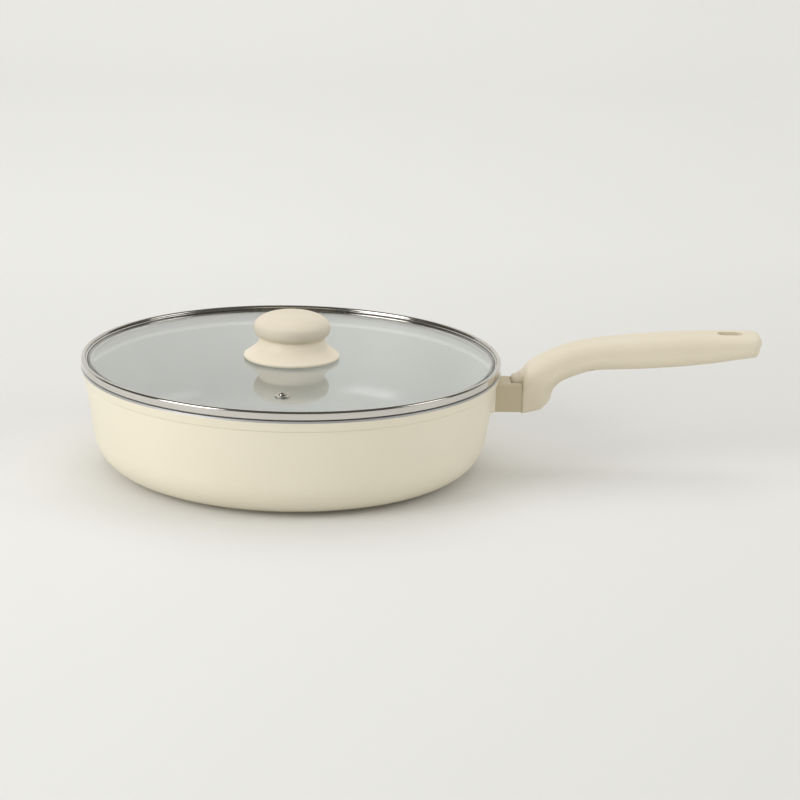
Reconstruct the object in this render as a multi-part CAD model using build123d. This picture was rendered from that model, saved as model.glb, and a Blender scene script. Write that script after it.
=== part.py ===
from build123d import *
from build123d.topology import SkipClean
import math
import os

# Low, wide lidded pan with one long handle. All sizes in millimetres, +Z up.
# The origin is the centre of the base on the floor, and the handle points along +X.

# ---- driving dimensions: pan ----
rim_radius = 144.7
rim_height = 72.5
rim_inner_radius = 141.0
rim_band_base = 65.4
wall_top_radius = 142.0
wall_corner_radius = 132.8
base_round = 27.0
wall_thickness = 3.3
floor_thickness = 5.0
foot_radius = 109.6
foot_height = 1.6
plate_radius = 95.0
plate_thickness = 0.8

# ---- driving dimensions: handle ----
boss_face_x = 141.0
grip_face_x = 159.3
grip_end_x = 324.7
slot_x = 303.3
screw_height = 53.2
screw_radius = 2.45
lug_end_x = 155.5
counterbore_seat_x = 170.0
counterbore_radius = 5.4

# ---- driving dimensions: lid ----
glass_radius = 141.4
glass_crown = 77.5
glass_edge = 76.5
glass_thickness = 3.1
sheet_thickness = 0.6
seat_gap = 0.25
vent_position = (-5.6, -98.3)

# ---- driving dimensions: knob ----
seal_top = 77.8
skirt_radius = 33.0
waist_radius = 22.6
cap_base = 92.8
cap_middle = 98.6
cap_radius = 26.35
cap_base_radius = 23.2
cap_top = 109.6
knob_screw_radius = 2.45


def face_of(*corners):
    """A closed flat face from corners given as (x, y) or (x, y, rounding radius)."""
    points = [corner[:2] for corner in corners]
    radii = [corner[2] if len(corner) > 2 else 0 for corner in corners]
    return make_face(FilletPolyline(*points, radius=radii, close=True))


def strip_face(*corners):
    """The section of a sheet bent along corners given as (radius, height, bend radius) of its middle."""
    half_sheet = sheet_thickness / 2
    line = [Vector(*corner[:2]) for corner in corners]
    steps = [(after - before).normalized() for before, after in zip(line, line[1:])]
    left, right = [], []
    for point, corner, before, after in zip(line, corners, steps[:1] + steps, steps + steps[-1:]):
        aside, aside_after = before.rotate(Axis.Z, 90), after.rotate(Axis.Z, 90)
        shift = (aside + aside_after) * (half_sheet / (1 + aside.dot(aside_after)))
        bend = corner[2] if len(corner) > 2 else 0
        grow = math.copysign(half_sheet, before.cross(after).Z) if bend else 0
        left.append(((point + shift).X, (point + shift).Y, bend - grow))
        right.append(((point - shift).X, (point - shift).Y, bend + grow))
    return face_of(*left, *right[::-1])


def turned(face):
    """A body of revolution about Z from a face drawn as (radius, height)."""
    return revolve(Plane.XZ * face, axis=Axis.Z)


def turned_in_quarters(face):
    """A thin ring about Z whose faces each cover a quarter turn."""
    quarter = revolve(Plane.XZ * face, axis=Axis.Z, revolution_arc=90)
    with SkipClean():
        return Part() + [Rot(0, 0, turn) * quarter for turn in (0, 90, 180, 270)]


def tube(outer, inner, bottom, top):
    """A plain ring about Z."""
    return turned(face_of((inner, bottom), (outer, bottom), (outer, top), (inner, top)))


def along_x(shape, start_x, height):
    """Lays a body made along +Z so that it starts at start_x and runs along +X at that height."""
    return Pos(start_x, 0, height) * Rot(0, 90, 0) * shape


def rounded_block(half_width, low, high, top_round, bottom_round):
    """A (y, z) section, rounded more at its top corners than at its bottom ones."""
    return face_of(
        (-half_width, low, bottom_round),
        (half_width, low, bottom_round),
        (half_width, high, top_round),
        (-half_width, high, top_round),
    )


# ---- pan ----
def build_induction_plate():
    """Perforated steel disc pressed flush into the base, in rings of round holes."""
    hole_radius = 3.2
    ring_pitch = 17.0
    plate = Cylinder(plate_radius, plate_thickness, align=(Align.CENTER, Align.CENTER, Align.MIN))
    for ring in range(1, 6):
        holes = PolarLocations(ring * ring_pitch, 6 * ring)
        plate -= holes * Cylinder(hole_radius, 4 * plate_thickness)
    return plate


def build_pan_shell(plate):
    """Cast body with a flared rim band, a foot ring, and the lug that carries the handle."""
    corner_height = 5.2
    bend_radius, bend_height = 138.95, 46.0
    blank = turned(
        face_of(
            (0, 0),
            (foot_radius, 0, 0.4),
            (foot_radius, foot_height),
            (wall_corner_radius, corner_height, base_round),
            (bend_radius, bend_height, 300),
            (wall_top_radius, rim_band_base - 0.8, 0.6),
            (143.0, rim_band_base, 0.5),
            (rim_radius, rim_height - 1.4, 0.3),
            (rim_radius - 0.5, rim_height, 0.3),
            (0, rim_height),
        )
    )
    cavity = turned(
        face_of(
            (0, floor_thickness),
            (wall_corner_radius - wall_thickness, floor_thickness, base_round - 4.0),
            (bend_radius - wall_thickness, bend_height, 300),
            (138.7, 64.4, 1.2),
            (140.3, 66.6, 1.5),
            (rim_inner_radius, rim_height),
            (rim_inner_radius, rim_height + 2.0),
            (0, rim_height + 2.0),
        )
    )
    pad_back_x = 134.0
    pad = loft(
        [
            Plane.YZ.offset(pad_back_x) * rounded_block(17.0, 41.5, 65.0, 5.0, 4.0),
            Plane.YZ.offset(boss_face_x) * rounded_block(13.4, 43.2, 63.9, 3.6, 2.4),
        ]
    )
    lug_section = Plane.YZ.offset(pad_back_x) * rounded_block(8.0, 47.8, 58.6, 2.0, 2.0)
    lug = extrude(lug_section, lug_end_x - pad_back_x)
    channel = tube(105.0, 99.0, -1.0, 0.5)
    tap_depth = 13.0
    tapped_hole = along_x(
        Cylinder(screw_radius + 0.05, tap_depth + 1.0, align=(Align.CENTER, Align.CENTER, Align.MIN)),
        lug_end_x - tap_depth,
        screw_height,
    )
    return blank + pad + lug - cavity - channel - plate - tapped_hole


# ---- handle ----
def build_ferrule(shell):
    """Heat guard: a hollow sleeve round the lug, saddled to the pan and square to the grip."""
    length = grip_face_x - boss_face_x
    outside = rounded_block(13.0, 43.6, 63.5, 3.2, 1.6)
    inside = rounded_block(11.2, 45.4, 59.6, 1.6, 0.6)
    sleeve = extrude(Plane.YZ.offset(boss_face_x) * (outside - inside), length)
    web = extrude(Plane.YZ.offset(lug_end_x + 0.4) * outside, grip_face_x - lug_end_x - 0.4)
    bore = Cylinder(2.8, 40, align=(Align.CENTER, Align.CENTER, Align.MIN))
    web -= along_x(bore, boss_face_x, screw_height)
    tongue_notch = Pos(151.9, 0, 61.0) * Box(30.0, 15.4, 10.0, align=(Align.MIN, Align.CENTER, Align.MIN))
    return sleeve + web - shell - tongue_notch


def grip_section(front, back, half_width, front_round, back_round):
    """Section of the grip through a point on its front or top and one on its back or underside."""
    across = Vector(back[0] - front[0], 0, back[1] - front[1])
    middle = Vector((front[0] + back[0]) / 2, 0, (front[1] + back[1]) / 2)
    half_depth = across.length / 2
    plane = Plane(origin=middle, x_dir=across, z_dir=across.cross(Vector(0, 1, 0)))
    section = face_of(
        (-half_depth, -half_width, front_round),
        (half_depth, -half_width, back_round),
        (half_depth, half_width, back_round),
        (-half_depth, half_width, front_round),
    )
    return plane * section


def build_grip():
    """Moulded grip: a short leg down the ferrule's end, an S-bend, and a flat bar with a hang slot."""
    stations = [
        # front or top point, back or underside point, half width, front rounding, back rounding
        ((grip_face_x, 42.6), (173.2, 45.8), 11.1, 1.6, 4.2),
        ((grip_face_x, 42.9), (174.4, 46.4), 12.4, 1.7, 5.2),
        ((grip_face_x, 43.7), (175.3, 47.4), 13.2, 1.8, 6.2),
        ((grip_face_x, 45.6), (176.9, 48.9), 13.7, 2.0, 7.0),
        ((grip_face_x, 50.0), (178.7, 50.9), 13.9, 2.0, 7.5),
        ((grip_face_x, 58.0), (180.1, 55.5), 13.9, 2.4, 7.8),
        ((160.0, 66.0), (180.8, 58.1), 13.9, 4.5, 7.8),
        ((162.3, 72.9), (182.1, 60.3), 13.9, 7.5, 7.8),
        ((168.5, 78.2), (183.9, 62.4), 13.8, 8.0, 7.8),
        ((177.5, 83.2), (187.3, 65.1), 13.7, 8.0, 7.8),
        ((188.6, 88.0), (194.9, 68.7), 13.7, 8.0, 7.8),
        ((202.0, 91.7), (206.5, 72.5), 13.9, 8.0, 8.0),
        ((219.3, 94.2), (222.3, 74.0), 14.3, 8.0, 8.0),
        ((242.2, 96.6), (244.3, 75.1), 14.9, 8.2, 8.2),
        ((264.2, 98.1), (265.8, 76.9), 15.3, 8.0, 8.0),
        ((288.2, 99.0), (289.4, 79.7), 15.5, 7.4, 7.4),
        ((305.2, 99.0), (306.3, 82.6), 15.5, 6.6, 6.6),
        ((320.2, 99.1), (321.1, 84.7), 15.2, 6.2, 6.2),
        ((334.0, 99.4), (334.8, 86.4), 14.9, 6.0, 6.0),
    ]
    grip = loft([grip_section(*station) for station in stations])

    # Slanted end face, its corners rounded in plan and its edges softened.
    end_lean = 14.0
    end_corner = 9.0
    plan = face_of((100, -30), (grip_end_x, -15.6, end_corner), (grip_end_x, 15.6, end_corner), (100, 30))
    lean = math.tan(math.radians(end_lean))
    prism = loft([Pos(-lean * 95.0, 0, 0) * plan, Pos(lean * 55.0, 0, 150.0) * plan])
    grip &= prism
    end_edges = [edge for edge in grip.edges() if edge.center().X > 316 and edge.length > 1.5]
    level_edges = [edge for edge in end_edges if edge.center().Z > 95 or edge.center().Z < 88]
    grip = fillet(level_edges, 4.0)
    grip -= Pos(grip_face_x, 0, 0) * Box(60, 60, 200, align=(Align.MAX, Align.CENTER, Align.CENTER))

    grip += build_tongue()
    slot = extrude(Plane.XY.offset(60) * Pos(slot_x, 0) * SlotOverall(18.0, 9.2), 60)
    bore = along_x(Cylinder(2.8, 40, align=(Align.CENTER, Align.CENTER, Align.MIN)), 150, screw_height)
    counterbore = along_x(
        Cylinder(counterbore_radius, 30, align=(Align.CENTER, Align.CENTER, Align.MIN)),
        counterbore_seat_x,
        screw_height,
    )
    return grip - slot - bore - counterbore


def build_tongue():
    """Blunt nose that lies in the notch of the ferrule and ramps up into the front of the grip."""
    half_width = 7.3
    side = face_of(
        (152.2, 61.3),
        (168.0, 61.3),
        (168.0, 73.4),
        (162.9, 73.4),
        (156.4, 67.8, 4.0),
        (152.2, 66.9, 3.0),
    )
    tongue = extrude(Plane.XZ.offset(-half_width) * side, 2 * half_width)
    tip_corners = tongue.edges().filter_by(Axis.Z).group_by(Axis.X)[0]
    tongue = fillet(tip_corners, 4.0)
    upper_edges = [edge for edge in tongue.edges() if edge.center().Z > 62 and edge.center().X < 165]
    outline = [edge for edge in upper_edges if abs(edge.center().Y) > 2]
    return fillet(outline, 1.8)


def build_handle_fasteners():
    """Socket-head screw from the back of the leg into the lug, with its two washers."""
    washer_thickness = 1.0
    spring_thickness = 1.3
    washer = along_x(tube(5.1, 2.7, 0, washer_thickness), counterbore_seat_x, screw_height)
    spring_x = counterbore_seat_x + washer_thickness
    spring = tube(4.7, 2.7, 0, spring_thickness) - Pos(4, 0, 0) * Rot(25, 0, 0) * Box(4, 0.9, 12)
    spring = along_x(spring, spring_x, screw_height)
    head_x = spring_x + spring_thickness
    screw = socket_screw(screw_radius, head_x - 144.0, 4.4, 4.6, 2.0)
    screw = along_x(screw, head_x, screw_height)
    return washer, spring, screw


def socket_screw(shank_radius, shank_length, head_radius, head_height, socket_half_width):
    """Screw with its head above z = 0 and its shank below, and a hexagon socket in the head."""
    head = turned(face_of((0, 0), (head_radius, 0), (head_radius, head_height, 0.5), (0, head_height)))
    tip_chamfer = 0.6
    shank = turned(
        face_of(
            (0, -shank_length),
            (shank_radius - tip_chamfer, -shank_length),
            (shank_radius, -shank_length + tip_chamfer),
            (shank_radius, 0),
            (0, 0),
        )
    )
    socket_across_corners = socket_half_width / math.cos(math.radians(30))
    socket = Pos(0, 0, head_height * 0.45) * extrude(RegularPolygon(socket_across_corners, 6), head_height)
    return head + shank - socket


# ---- lid ----
def glass_top_at(radius):
    """Height of the glass's upper surface at a radius."""
    return glass_crown - (glass_crown - glass_edge) * (radius / glass_radius) ** 2


def build_glass():
    """Shallow domed disc with a rounded rim, a centre hole and a vent hole."""
    crown_arc = ThreePointArc(
        (0, glass_crown),
        (glass_radius / 2, glass_top_at(glass_radius / 2)),
        (glass_radius - 1.2, glass_edge),
    )
    edge_arc = ThreePointArc(
        (glass_radius - 1.2, glass_edge),
        (glass_radius, glass_edge - glass_thickness / 2),
        (glass_radius - 1.2, glass_edge - glass_thickness),
    )
    under_arc = ThreePointArc(
        (glass_radius - 1.2, glass_edge - glass_thickness),
        (glass_radius / 2, glass_top_at(glass_radius / 2) - glass_thickness),
        (0, glass_crown - glass_thickness),
    )
    axis_line = Line((0, glass_crown - glass_thickness), (0, glass_crown))
    disc = turned(make_face(crown_arc + edge_arc + under_arc + axis_line))
    centre_hole = Pos(0, 0, glass_crown) * Cylinder(4.2, 20)
    vent_hole = Pos(*vent_position, glass_crown) * Cylinder(2.7, 20)
    return disc - centre_hole - vent_hole


def build_rim_band():
    """Steel strip crimped round the glass: ledge, locating bead, foot, outer face, crest and top lip."""
    half_sheet = sheet_thickness / 2
    foot_height = rim_height + seat_gap + half_sheet
    outer = rim_radius - half_sheet
    crest_height = 79.1 - half_sheet
    drop_radius = 141.95
    top_lip = glass_edge + 0.05 + half_sheet
    bead_bottom = 70.55
    strip = strip_face(
        (136.9, foot_height),
        (138.3, foot_height, 0.5),
        (138.3, bead_bottom, 0.6),
        (139.7, bead_bottom, 0.6),
        (139.7, foot_height, 0.5),
        (143.0, foot_height, 0.8),
        (outer, foot_height + 0.85, 0.6),
        (outer, crest_height, 1.2),
        (drop_radius, crest_height, 1.1),
        (drop_radius, top_lip, 0.5),
        (140.7, top_lip),
    )
    return turned_in_quarters(strip)


def build_vent_eyelet():
    """Pressed steel eyelet through the glass: lower flange, tube, upper flange and rolled collar."""
    reach = math.hypot(*vent_position)
    flange_radius = 5.5
    collar_height = 1.5
    inner_flange_radius = 4.6
    upper = glass_top_at(reach - flange_radius) + 0.05
    lower = glass_top_at(reach + inner_flange_radius) - glass_thickness - 0.05
    eyelet = turned(
        face_of(
            (1.6, lower - 0.6),
            (inner_flange_radius, lower - 0.6, 0.25),
            (inner_flange_radius, lower, 0.25),
            (2.5, lower),
            (2.5, upper),
            (flange_radius, upper, 0.2),
            (flange_radius, upper + 0.5, 0.25),
            (3.1, upper + 0.7, 0.4),
            (2.9, upper + collar_height, 0.4),
            (1.6, upper + collar_height, 0.4),
        )
    )
    return Pos(*vent_position, 0) * eyelet


# ---- knob ----
def build_seal_upper(glass):
    """Silicone disc between the knob and the glass."""
    return tube(31.6, 4.6, glass_crown - 1.0, seal_top) - glass


def build_seal_lower(glass):
    """Silicone grommet under the glass, with a collar that lines the centre hole."""
    bottom = glass_crown - glass_thickness - 1.5
    grommet = turned(
        face_of(
            (2.6, bottom),
            (11.0, bottom, 0.5),
            (11.0, bottom + 1.55, 0.2),
            (4.1, bottom + 1.55),
            (4.1, glass_crown - 0.1),
            (2.6, glass_crown - 0.1),
        )
    )
    return grommet - glass


def build_knob_skirt():
    """Flared base of the knob: hollow underneath, with a centre boss and a seat for the cap."""
    flare = Spline(
        (skirt_radius - 0.4, 80.1),
        (29.1, 82.5),
        (25.0, 86.0),
        (23.0, 89.4),
        (waist_radius, 91.4),
        tangents=[(-0.9, 0.42), (0, 1)],
    )
    lip = ThreePointArc((skirt_radius - 0.7, seal_top), (skirt_radius, 78.8), (skirt_radius - 0.4, 80.1))
    top = Polyline(
        (waist_radius, 91.4),
        (waist_radius - 0.5, 91.7),
        (waist_radius - 0.5, 92.5),
        (waist_radius - 0.9, cap_base),
        (0, cap_base),
    )
    base = Polyline((0, cap_base), (0, seal_top), (skirt_radius - 0.7, seal_top))
    skirt = turned(make_face(flare + lip + top + base))
    cavity = turned(
        face_of(
            (10.5, seal_top - 1),
            (28.8, seal_top - 1),
            (28.8, 79.8, 0.8),
            (21.5, 84.6, 3.0),
            (19.2, 89.6, 1.5),
            (10.5, 89.6, 1.5),
        )
    )
    insert_bore = Pos(0, 0, seal_top) * Cylinder(5.0, 24.0, align=(Align.CENTER, Align.CENTER, Align.CENTER))
    spigot_recess = tube(16.0, 12.5, 91.0, cap_base + 1)
    return skirt - cavity - insert_bore - spigot_recess


def build_knob_cap():
    """Rounded bun of the knob, with a ring spigot that plugs into the skirt."""
    half_height = cap_top - cap_middle
    squareness = 2.3

    def dome(share):
        height = half_height * (1 - share**squareness) ** (1 / squareness)
        return (cap_radius * share, cap_middle + height)

    widest = (cap_radius, cap_middle)
    upper = Spline((0, cap_top), dome(0.45), dome(0.75), dome(0.93), widest, tangents=[(1, 0), (0, -1)])
    lower = Spline(widest, (25.6, 95.3), (cap_base_radius, cap_base), tangents=[(0, -1), (-1, -0.5)])
    inside = Polyline((cap_base_radius, cap_base), (0, cap_base), (0, cap_top))
    cap = turned(make_face(upper + lower + inside))
    spigot = tube(15.9, 12.6, 91.1, cap_base + 0.5)
    hollow = turned(face_of((0, cap_base - 1), (9.5, cap_base - 1), (9.5, 100.0, 2.0), (0, 100.0)))
    return cap + spigot - hollow


def build_knob_hardware():
    """Brass insert in the skirt's boss, and the screw, spring washer and washer under the glass."""
    insert = turned(
        face_of(
            (2.5, seal_top + 0.2),
            (5.0, seal_top + 0.2, 0.3),
            (5.0, seal_top + 11.8, 0.3),
            (2.5, seal_top + 11.8),
        )
    )
    washer_top = glass_crown - glass_thickness - 1.5
    spring_top = washer_top - 1.0
    head_top = spring_top - 1.2
    washer = tube(10.0, 2.7, spring_top, washer_top)
    spring = tube(4.6, 2.7, head_top, spring_top) - Pos(4, 0, head_top) * Rot(25, 0, 0) * Box(4, 0.9, 12)
    screw = pan_head_screw(knob_screw_radius, 87.5 - head_top, 4.7, 3.0)
    return insert, washer, spring, Pos(0, 0, head_top) * screw


def pan_head_screw(shank_radius, shank_length, head_radius, head_height):
    """Screw with its shank above z = 0 and its domed head below, and a cross recess in the head."""
    head = turned(face_of((0, 0), (head_radius, 0), (head_radius, -head_height, 1.4), (0, -head_height)))
    tip_chamfer = 0.5
    shank = turned(
        face_of(
            (0, 0),
            (shank_radius, 0),
            (shank_radius, shank_length - tip_chamfer),
            (shank_radius - tip_chamfer, shank_length),
            (0, shank_length),
        )
    )
    slot = Pos(0, 0, -head_height) * Box(5.0, 0.9, 2.8)
    return head + shank - slot - Rot(0, 0, 90) * slot


def write_parts(parts):
    os.makedirs("parts", exist_ok=True)
    for name, shape in parts.items():
        export_step(Compound(shape.solids()), f"parts/{name}.step")


induction_plate = build_induction_plate()
pan_shell = build_pan_shell(induction_plate)
lid_glass = build_glass()
handle_washer, handle_spring_washer, handle_screw = build_handle_fasteners()
knob_insert, knob_washer, knob_spring_washer, knob_screw = build_knob_hardware()

write_parts(
    {
        "pan_shell": pan_shell,
        "induction_plate": induction_plate,
        "handle_ferrule": build_ferrule(pan_shell),
        "handle_grip": build_grip(),
        "handle_washer": handle_washer,
        "handle_spring_washer": handle_spring_washer,
        "handle_screw": handle_screw,
        "lid_glass": lid_glass,
        "lid_rim_band": build_rim_band(),
        "vent_eyelet": build_vent_eyelet(),
        "knob_seal_upper": build_seal_upper(lid_glass),
        "knob_seal_lower": build_seal_lower(lid_glass),
        "knob_skirt": build_knob_skirt(),
        "knob_cap": build_knob_cap(),
        "knob_insert": knob_insert,
        "knob_washer": knob_washer,
        "knob_spring_washer": knob_spring_washer,
        "knob_screw": knob_screw,
    }
)
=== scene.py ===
import math

import bmesh
import bpy
from mathutils import Matrix, Vector


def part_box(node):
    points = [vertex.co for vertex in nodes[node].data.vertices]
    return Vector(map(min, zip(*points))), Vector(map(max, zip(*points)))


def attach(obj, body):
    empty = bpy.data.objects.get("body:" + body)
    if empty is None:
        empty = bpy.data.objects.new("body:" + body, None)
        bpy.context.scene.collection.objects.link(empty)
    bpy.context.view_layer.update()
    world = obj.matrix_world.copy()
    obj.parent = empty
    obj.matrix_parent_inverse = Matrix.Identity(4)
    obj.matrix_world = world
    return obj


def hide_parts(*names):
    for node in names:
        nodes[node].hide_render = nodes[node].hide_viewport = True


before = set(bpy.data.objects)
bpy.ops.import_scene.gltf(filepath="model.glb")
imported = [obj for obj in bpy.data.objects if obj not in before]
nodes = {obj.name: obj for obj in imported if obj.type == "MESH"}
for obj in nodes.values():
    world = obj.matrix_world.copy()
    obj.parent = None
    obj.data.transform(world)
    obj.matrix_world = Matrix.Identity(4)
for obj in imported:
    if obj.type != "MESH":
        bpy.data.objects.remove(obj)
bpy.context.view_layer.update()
MM = 0.001


# ---- node-tree helpers ----
class Shader:
    """A material with a Principled shader, and short calls for the nodes that feed it."""

    def __init__(self, name, colour, roughness, metallic=0.0, coat=0.0, specular=0.5):
        self.material = bpy.data.materials.new(name)
        self.material.use_nodes = True
        self.tree = self.material.node_tree
        self.tree.nodes.clear()
        self.output = self.tree.nodes.new("ShaderNodeOutputMaterial")
        self.body = self.tree.nodes.new("ShaderNodeBsdfPrincipled")
        self.body.inputs["Base Color"].default_value = (*colour, 1)
        self.body.inputs["Roughness"].default_value = roughness
        self.body.inputs["Metallic"].default_value = metallic
        self.body.inputs["Coat Weight"].default_value = coat
        self.body.inputs["Specular IOR Level"].default_value = specular
        self.tree.links.new(self.body.outputs[0], self.output.inputs[0])
        coordinates = self.tree.nodes.new("ShaderNodeTexCoord")
        self.place = coordinates.outputs["Object"]
        self.normal = coordinates.outputs["Normal"]

    def node(self, kind, settings=None, **inputs):
        """Adds a node. An input is named by its label, with _ for a space, or by its index, as _0.

        It gets a number, a colour or another node's output.
        """
        made = self.tree.nodes.new(kind)
        for key, value in (settings or {}).items():
            setattr(made, key, value)
        for key, value in inputs.items():
            by_index = key.startswith("_")
            socket = made.inputs[int(key[1:]) if by_index else key.replace("_", " ")]
            if isinstance(value, bpy.types.NodeSocket):
                self.tree.links.new(value, socket)
            elif isinstance(value, tuple) and len(value) == 3 and socket.type == "RGBA":
                socket.default_value = (*value, 1)
            else:
                socket.default_value = value
        return made

    def math(self, operation, first, second=0.0, clamp=False):
        settings = {"operation": operation, "use_clamp": clamp}
        return self.node("ShaderNodeMath", settings, _0=first, _1=second).outputs[0]

    def noise(self, scale, detail=3.0, roughness=0.55, place=None):
        """A value from 0 to 1, in features of about 1/scale metres."""
        made = self.node(
            "ShaderNodeTexNoise", Vector=place or self.place, Scale=scale, Detail=detail, Roughness=roughness
        )
        return made.outputs["Fac"]

    def ramp(self, value, low, high, start=0.0, end=1.0):
        """Maps value from low..high to start..end, held at the ends."""
        return self.node(
            "ShaderNodeMapRange",
            {"clamp": True},
            Value=value,
            From_Min=low,
            From_Max=high,
            To_Min=start,
            To_Max=end,
        ).outputs[0]

    def mix(self, share, first, second):
        """A colour between two colours."""
        made = self.node("ShaderNodeMix", {"data_type": "RGBA"})
        for index, value in ((0, share), (6, first), (7, second)):
            if isinstance(value, bpy.types.NodeSocket):
                self.tree.links.new(value, made.inputs[index])
            else:
                made.inputs[index].default_value = (*value, 1) if index else value
        return made.outputs[2]

    def bump(self, height, strength, distance):
        made = self.node("ShaderNodeBump", Height=height, Strength=strength, Distance=distance)
        return made.outputs[0]

    def axis(self, name):
        return self.node("ShaderNodeSeparateXYZ", Vector=self.place).outputs[name]

    def from_axis(self):
        """Distance from the pan's upright axis, in metres."""
        flat = self.node("ShaderNodeVectorMath", {"operation": "MULTIPLY"}, _0=self.place, _1=(1, 1, 0))
        return self.node("ShaderNodeVectorMath", {"operation": "LENGTH"}, _0=flat.outputs[0]).outputs["Value"]

    def feed(self, **inputs):
        """Links node outputs to the Principled shader's inputs and gives the finished material."""
        for key, value in inputs.items():
            self.tree.links.new(value, self.body.inputs[key.replace("_", " ")])
        return self.material


def dress(name, material):
    """Gives a carried-over node its finish."""
    nodes[name].material_slots[0].link = "OBJECT"
    nodes[name].material_slots[0].material = material


# ---- lid band and glass, as close-stepped bodies of revolution ----
def rounded(corners, steps=8):
    """A line through corners of (radius, height, rounding), each but the two ends turned as an arc."""
    line = [Vector(corners[0][:2])]
    for before, corner, after in zip(corners, corners[1:], corners[2:]):
        point, rounding = Vector(corner[:2]), corner[2]
        back = (Vector(before[:2]) - point).normalized()
        ahead = (Vector(after[:2]) - point).normalized()
        half = back.angle(ahead) / 2
        centre = point + (back + ahead).normalized() * rounding / math.sin(half)
        spoke = point + back * rounding / math.tan(half) - centre
        sweep = math.copysign(math.pi - 2 * half, back.x * ahead.y - back.y * ahead.x)
        for step in range(steps + 1):
            line.append(centre + Matrix.Rotation(-sweep * step / steps, 2) @ spoke)
    line.append(Vector(corners[-1][:2]))
    return line


def strip_outline(line, half_sheet, lip_top, lip_length, taper):
    """Outline of a sheet bent along line, its last stretch pressed thin on the upper side."""
    under, over = [], []
    for index, point in enumerate(line):
        before = line[max(index - 1, 0)]
        after = line[min(index + 1, len(line) - 1)]
        along = (after - before).normalized()
        side = Vector((along.y, -along.x))
        full = min(max(((line[-1] - point).length - lip_length) / taper, 0.0), 1.0)
        under.append(point - side * half_sheet)
        over.append(point + side * (lip_top + (half_sheet - lip_top) * full))
    return under + over[::-1]


def lathe(name, outline, segments=360):
    """A closed outline of (radius, height) points turned about the upright axis."""
    vertices, faces = [], []
    count = len(outline)
    for segment in range(segments):
        angle = segment / segments * 2 * math.pi
        vertices += [(r * math.cos(angle), r * math.sin(angle), z) for r, z in outline]
        this, after = segment * count, (segment + 1) % segments * count
        for i in range(count):
            j = (i + 1) % count
            faces.append((this + i, this + j, after + j, after + i))
    mesh = bpy.data.meshes.new(name)
    mesh.from_pydata(vertices, [], faces)
    made = bmesh.new()
    made.from_mesh(mesh)
    bmesh.ops.recalc_face_normals(made, faces=made.faces)
    made.to_mesh(mesh)
    made.free()
    mesh.shade_smooth()
    mesh.set_sharp_from_angle(angle=math.radians(50))
    piece = bpy.data.objects.new(name, mesh)
    bpy.context.scene.collection.objects.link(piece)
    return piece


def add_band(material):
    """Rolled steel strip: ledge under the glass, locating bead, foot, outer face, crest and thin top lip."""
    low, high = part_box("lid_rim_band")
    half_sheet = 0.3 * MM
    outer, crest, bead = high.x - half_sheet, high.z - half_sheet, low.z + half_sheet
    foot, shelf = bead + 2.5 * MM, crest - 1.95 * MM
    ledge_end, bead_inner, bead_outer = outer - 7.5 * MM, outer - 6.1 * MM, outer - 4.7 * MM
    foot_outer, foot_rise = outer - 1.4 * MM, 0.85 * MM
    inner_wall, lip_end = outer - 2.45 * MM, outer - 3.7 * MM
    line = rounded(
        [
            (ledge_end, foot),
            (bead_inner, foot, 0.5 * MM),
            (bead_inner, bead, 0.6 * MM),
            (bead_outer, bead, 0.6 * MM),
            (bead_outer, foot, 0.5 * MM),
            (foot_outer, foot, 0.8 * MM),
            (outer, foot + foot_rise, 0.6 * MM),
            (outer, crest, 1.2 * MM),
            (inner_wall, crest, 1.1 * MM),
            (inner_wall, shelf, 0.5 * MM),
            (lip_end, shelf),
        ]
    )
    outline = strip_outline(line, half_sheet, lip_top=-0.15 * MM, lip_length=0.5 * MM, taper=0.5 * MM)
    band = lathe("lid_band", outline)
    band.data.materials.append(material)
    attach(band, "lid")
    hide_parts("lid_rim_band")


def add_glass(material):
    """Shallow domed disc with a rounded rim, a centre hole and a hole for the vent."""
    low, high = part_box("lid_glass")
    thickness, edge_round = 3.1 * MM, 1.2 * MM
    centre_hole, vent_hole, drill_length = 4.2 * MM, 2.7 * MM, 20 * MM
    fall = high.z - thickness - low.z
    bands, edge_steps = 28, 12
    upper = []
    for step in range(bands + 1):
        radius = centre_hole + (high.x - edge_round - centre_hole) * step / bands
        upper.append(Vector((radius, high.z - fall * (radius / high.x) ** 2)))
    lower = [Vector((r, z - thickness)) for r, z in upper]
    middle = (upper[-1] + lower[-1]) / 2
    edge = []
    for step in range(1, edge_steps):
        angle = math.pi * (0.5 - step / edge_steps)
        edge.append(middle + Vector((edge_round * math.cos(angle), thickness / 2 * math.sin(angle))))
    disc = lathe("lid_glass_disc", upper + edge + lower[::-1], segments=256)
    disc.data.materials.append(material)

    vent_low, vent_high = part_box("vent_eyelet")
    drill_mesh = bpy.data.meshes.new("drill")
    drill = bmesh.new()
    bmesh.ops.create_cone(
        drill,
        cap_ends=True,
        segments=48,
        radius1=vent_hole,
        radius2=vent_hole,
        depth=drill_length,
        matrix=Matrix.Translation((vent_low + vent_high) / 2),
    )
    drill.to_mesh(drill_mesh)
    drill.free()
    cutter = bpy.data.objects.new("drill", drill_mesh)
    bpy.context.scene.collection.objects.link(cutter)
    cut = disc.modifiers.new("vent hole", "BOOLEAN")
    cut.operation = "DIFFERENCE"
    cut.solver = "EXACT"
    cut.object = cutter
    bpy.context.view_layer.update()
    drilled = bpy.data.meshes.new_from_object(disc.evaluated_get(bpy.context.evaluated_depsgraph_get()))
    disc.modifiers.clear()
    disc.data = drilled
    drilled.name = "lid_glass_disc"
    bpy.data.objects.remove(cutter)
    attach(disc, "lid")
    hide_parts("lid_glass")


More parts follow.
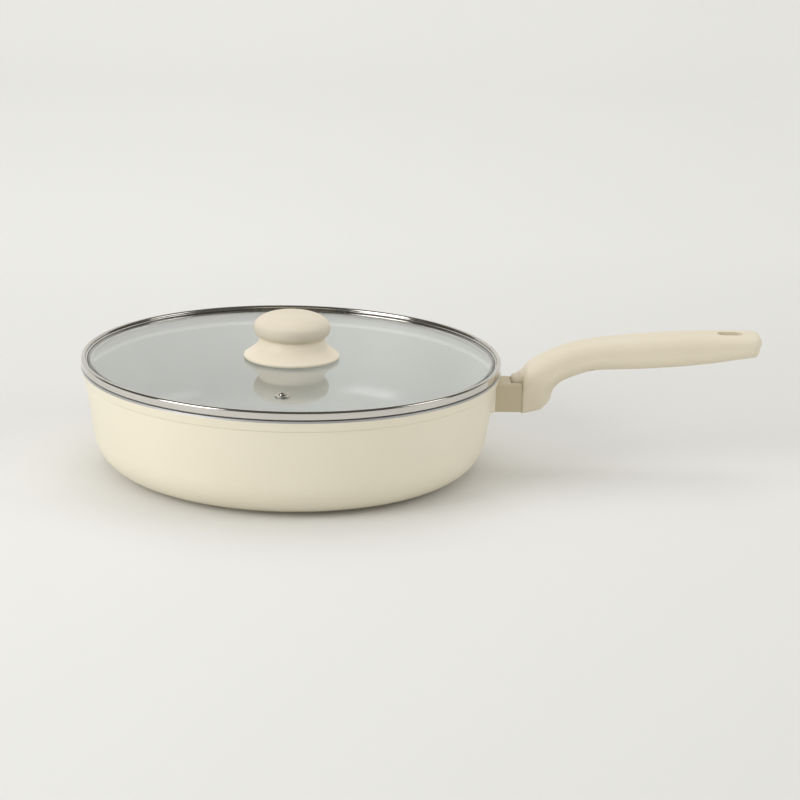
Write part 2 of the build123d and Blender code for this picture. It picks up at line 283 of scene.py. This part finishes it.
# ---- materials ----
def coating():
    """Sprayed cream outside, bare turned edge at the rim, and a grey release coat inside with a painted
    highlight along its step.
    """
    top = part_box("pan_shell")[1].z
    rim_inner, fade = 141.5 * MM, 0.1 * MM
    base_level = 4.0 * MM
    step_low, step_high = 63.3 * MM, 66.2 * MM
    bare_depth, bare_fade = 1.4 * MM, 0.3 * MM
    s = Shader("cream_coating", (0.80, 0.735, 0.575), 0.42, coat=0.12)
    s.body.inputs["Coat Roughness"].default_value = 0.3
    radius, height = s.from_axis(), s.axis("Z")
    upward = s.node("ShaderNodeSeparateXYZ", Vector=s.normal).outputs["Z"]

    cream = s.mix(s.ramp(s.noise(9, 2), 0.35, 0.65), (0.795, 0.735, 0.588), (0.815, 0.755, 0.607))
    speck = s.ramp(s.noise(900, 1), 0.62, 0.72)
    grey = s.mix(speck, (0.58, 0.59, 0.575), (0.66, 0.67, 0.655))
    # Painted highlight: a lighter band along the inside step, where its edge catches the light.
    step_highlight = s.math(
        "MULTIPLY",
        s.ramp(height, step_low, step_low + 0.5 * MM),
        s.ramp(height, step_high, step_high - 0.7 * MM),
    )
    grey = s.mix(step_highlight, grey, (0.78, 0.79, 0.77))

    # Inside faces look up or towards the axis, within the rim and above the base.
    outward = s.node("ShaderNodeVectorMath", {"operation": "DOT_PRODUCT"}, _0=s.place, _1=s.normal)
    sideways = s.math("SUBTRACT", outward.outputs["Value"], s.math("MULTIPLY", height, upward))
    inside = s.math("MAXIMUM", s.ramp(sideways, -2 * MM, -4 * MM), s.ramp(upward, 0.3, 0.35))
    inside = s.math("MULTIPLY", inside, s.ramp(radius, rim_inner + fade, rim_inner - fade))
    inside = s.math("MULTIPLY", inside, s.ramp(height, base_level - 0.5 * MM, base_level + 0.5 * MM))
    colour = s.mix(inside, cream, grey)

    edge = s.math(
        "MULTIPLY",
        s.ramp(height, top - bare_depth, top - bare_depth + bare_fade),
        s.ramp(radius, rim_inner, rim_inner + 2 * fade),
        clamp=True,
    )
    colour = s.mix(edge, colour, (0.50, 0.50, 0.49))
    rough = s.ramp(s.noise(650, 2), 0.3, 0.7, 0.40, 0.48)
    rough = s.math("SUBTRACT", rough, s.math("MULTIPLY", inside, 0.28))
    peel = s.bump(s.noise(420, 2), 0.12, 0.4 * MM)
    return s.feed(Base_Color=colour, Roughness=rough, Normal=peel, Metallic=s.math("MULTIPLY", edge, 0.4))


def plastic(name, low, high, roughness):
    """Matt moulded plastic with a fine spark-eroded grain."""
    s = Shader(name, high, roughness)
    colour = s.mix(s.ramp(s.noise(14, 3), 0.35, 0.65), low, high)
    spread = 0.05
    rough = s.ramp(s.noise(500, 2), 0.3, 0.7, roughness - spread, roughness + spread)
    grain = s.bump(s.noise(1500, 2), 0.25, 0.2 * MM)
    return s.feed(Base_Color=colour, Roughness=rough, Normal=grain)


def steel(name, colour, roughness, turned):
    """Bright steel, with the fine lines of turning or rolling when turned is true."""
    s = Shader(name, colour, roughness, metallic=1.0)
    if turned:
        around = s.node("ShaderNodeCombineXYZ", X=s.from_axis(), Y=s.axis("Z"), Z=0.0).outputs[0]
        lines = s.noise(2600, 2, place=around)
    else:
        lines = s.noise(900, 3)
    rough = s.ramp(lines, 0.3, 0.7, roughness * 0.7, roughness * 1.4)
    duller = tuple(c * 0.93 for c in colour)
    shade = s.mix(s.ramp(s.noise(30, 2), 0.3, 0.7), colour, duller)
    return s.feed(Base_Color=shade, Roughness=rough, Normal=s.bump(lines, 0.08, 0.05 * MM))


def silicone():
    """Pale rubber, seen only as thin edges."""
    s = Shader("clear_silicone", (0.55, 0.54, 0.50), 0.5)
    colour = s.mix(s.ramp(s.noise(60, 2), 0.3, 0.7), (0.50, 0.49, 0.45), (0.58, 0.57, 0.53))
    return s.feed(Base_Color=colour, Normal=s.bump(s.noise(900, 2), 0.1, 0.2 * MM))


def glass():
    """Tempered glass with a faint green tint. Light passes straight through to what lies under it."""
    s = Shader("tempered_glass", (0.97, 0.978, 0.972), 0.0)
    s.body.inputs["Transmission Weight"].default_value = 1.0
    s.body.inputs["IOR"].default_value = 1.52
    s.feed(Roughness=s.ramp(s.noise(22, 4), 0.35, 0.7, 0.0, 0.02))
    tint = s.mix(s.ramp(s.noise(6, 2), 0.3, 0.7), (0.925, 0.94, 0.93), (0.935, 0.948, 0.938))
    clear = s.node("ShaderNodeBsdfTransparent", Color=tint)
    path = s.node("ShaderNodeLightPath").outputs
    lit_by = s.math("MAXIMUM", path["Is Shadow Ray"], path["Is Diffuse Ray"])
    mixed = s.node("ShaderNodeMixShader", _0=lit_by)
    s.tree.links.new(s.body.outputs[0], mixed.inputs[1])
    s.tree.links.new(clear.outputs[0], mixed.inputs[2])
    s.tree.links.new(mixed.outputs[0], s.output.inputs[0])
    return s.material


# Band steel: grey steel with a beige tint that is painted reflection of a warm floor in its outer face.
band_steel = steel("band_steel", (0.69, 0.665, 0.625), 0.12, turned=True)
fastener_steel = steel("fastener_steel", (0.58, 0.57, 0.55), 0.28, turned=False)
dress("pan_shell", coating())
dress("induction_plate", steel("base_steel", (0.55, 0.55, 0.54), 0.3, turned=True))
dress("handle_ferrule", plastic("ferrule_plastic", (0.57, 0.50, 0.35), (0.60, 0.525, 0.37), 0.5))
dress("handle_grip", plastic("grip_plastic", (0.735, 0.66, 0.515), (0.755, 0.68, 0.535), 0.5))
for owner in ("handle", "knob"):
    for fastener in ("washer", "spring_washer", "screw"):
        dress(f"{owner}_{fastener}", fastener_steel)
add_glass(glass())
add_band(band_steel)
dress("vent_eyelet", band_steel)
seal = silicone()
dress("knob_seal_upper", seal)
dress("knob_seal_lower", seal)
dress("knob_skirt", plastic("knob_skirt_plastic", (0.86, 0.77, 0.615), (0.88, 0.79, 0.635), 0.45))
dress("knob_cap", plastic("knob_cap_plastic", (0.74, 0.665, 0.53), (0.76, 0.685, 0.55), 0.5))
dress("knob_insert", steel("insert_brass", (0.72, 0.52, 0.25), 0.3, turned=False))


# ---- camera ----
def add_camera():
    """Placed by its position and its yaw, downward pitch and roll."""
    place = (0, -1.93239, 0.58911)
    yaw, pitch, roll = 0.03911, 0.27293, math.radians(1.45)
    data = bpy.data.cameras.new("camera")
    data.lens = 130.1
    data.sensor_width = 36.0
    data.clip_end = 50
    camera = bpy.data.objects.new("camera", data)
    ahead = Vector((math.sin(yaw) * math.cos(pitch), math.cos(yaw) * math.cos(pitch), -math.sin(pitch)))
    level = Vector((math.cos(yaw), -math.sin(yaw), 0))
    above = level.cross(ahead)
    right = level * math.cos(roll) + above * math.sin(roll)
    up = above * math.cos(roll) - level * math.sin(roll)
    camera.matrix_world = Matrix((right, up, -ahead)).transposed().to_4x4()
    camera.location = place
    bpy.context.scene.collection.objects.link(camera)
    bpy.context.scene.camera = camera


# ---- studio ----
def add_sweep():
    """Seamless paper: floor, a large bend and a wall behind."""
    half_width, front, back, bend, top = 3.0, -3.0, 2.6, 1.0, 3.2
    steps = 24
    line = [(front, 0.0), (back - bend, 0.0)]
    for step in range(1, steps + 1):
        angle = step / steps * math.pi / 2
        line.append((back - bend + bend * math.sin(angle), bend - bend * math.cos(angle)))
    line.append((back, top))
    vertices = [(x, y, z) for y, z in line for x in (-half_width, half_width)]
    faces = [(2 * i, 2 * i + 1, 2 * i + 3, 2 * i + 2) for i in range(len(line) - 1)]
    mesh = bpy.data.meshes.new("sweep")
    mesh.from_pydata(vertices, [], faces)
    for face in mesh.polygons:
        face.use_smooth = True
    sweep = bpy.data.objects.new("sweep", mesh)
    bpy.context.scene.collection.objects.link(sweep)
    s = Shader("paper", (0.80, 0.795, 0.765), 0.75, specular=0.1)
    tone = s.mix(s.noise(3, 2), (0.80, 0.797, 0.775), (0.81, 0.807, 0.785))
    # Painted shade: the paper darkens a little towards the right, towards the front, and in a strip just
    # behind the pan, standing in for the soft shadow and dimmer light there.
    depth = s.axis("Y")
    rightward = s.ramp(s.axis("X"), -0.1, 0.5, 0.0, 0.5)
    rightward = s.math("MULTIPLY", rightward, s.ramp(depth, 1.5, 0.4, 0.4, 1.0))
    forward = s.ramp(depth, -0.05, -0.65, 0.0, 0.5)
    behind = s.math("MULTIPLY", s.ramp(depth, -0.05, 0.12, 0.0, 0.5), s.ramp(depth, 0.7, 0.25))
    painted_shade = s.math("ADD", s.math("ADD", rightward, forward), behind, clamp=True)
    tone = s.mix(painted_shade, tone, (0.70, 0.696, 0.675))
    mesh.materials.append(s.feed(Base_Color=tone))


def add_light(name, place, target, size, power, shows_in_gloss=True):
    """A rectangular soft box that faces its target."""
    data = bpy.data.lights.new(name, "AREA")
    data.shape = "RECTANGLE"
    data.size, data.size_y = size
    data.energy = power
    light = bpy.data.objects.new(name, data)
    light.location = place
    light.rotation_euler = (Vector(target) - Vector(place)).to_track_quat("-Z", "Y").to_euler()
    light.visible_glossy = shows_in_gloss
    bpy.context.scene.collection.objects.link(light)


def add_world(colour, strength, gloss_colour):
    """Soft light all round, a little less from the front. In gloss the room is dark, as in a real studio."""
    world = bpy.data.worlds.new("studio")
    world.use_nodes = True
    tree = world.node_tree

    def node(kind, settings, *links):
        """Adds a node with its inputs given as (index, number, colour or output)."""
        made = tree.nodes.new(kind)
        for key, value in settings.items():
            setattr(made, key, value)
        for index, value in links:
            if isinstance(value, bpy.types.NodeSocket):
                tree.links.new(value, made.inputs[index])
            else:
                made.inputs[index].default_value = value
        return made

    background = tree.nodes["Background"]
    background.inputs[1].default_value = strength
    direction = node("ShaderNodeTexCoord", {}).outputs["Generated"]
    split = node("ShaderNodeSeparateXYZ", {}, (0, direction))
    front = node("ShaderNodeMapRange", {}, (0, split.outputs["Y"]), (1, 0.1), (2, -0.5)).outputs[0]
    dimmer = tuple(c * 0.82 for c in colour)
    in_colour = {"data_type": "RGBA"}
    soft = node("ShaderNodeMix", in_colour, (0, front), (6, (*colour, 1)), (7, (*dimmer, 1)))
    glossy = node("ShaderNodeLightPath", {}).outputs["Is Glossy Ray"]
    room = node("ShaderNodeMix", in_colour, (0, glossy), (6, soft.outputs[2]), (7, (*gloss_colour, 1)))
    tree.links.new(room.outputs[2], background.inputs[0])
    bpy.context.scene.world = world


add_camera()
add_sweep()
pan_middle = (0, 0, 0.05)
add_light("key", (-2.2, -1.4, 1.3), pan_middle, size=(1.6, 1.6), power=36)
add_light("right_fill", (2.3, -0.4, 1.2), pan_middle, size=(1.1, 1.1), power=8)
add_light("overhead", (0.2, 1.6, 2.6), (0, 1.6, 0), size=(3.0, 2.0), power=19, shows_in_gloss=False)
add_world((1.0, 0.997, 0.98), strength=0.785, gloss_colour=(0.125, 0.12, 0.105))
bpy.context.scene.view_settings.view_transform = "Standard"
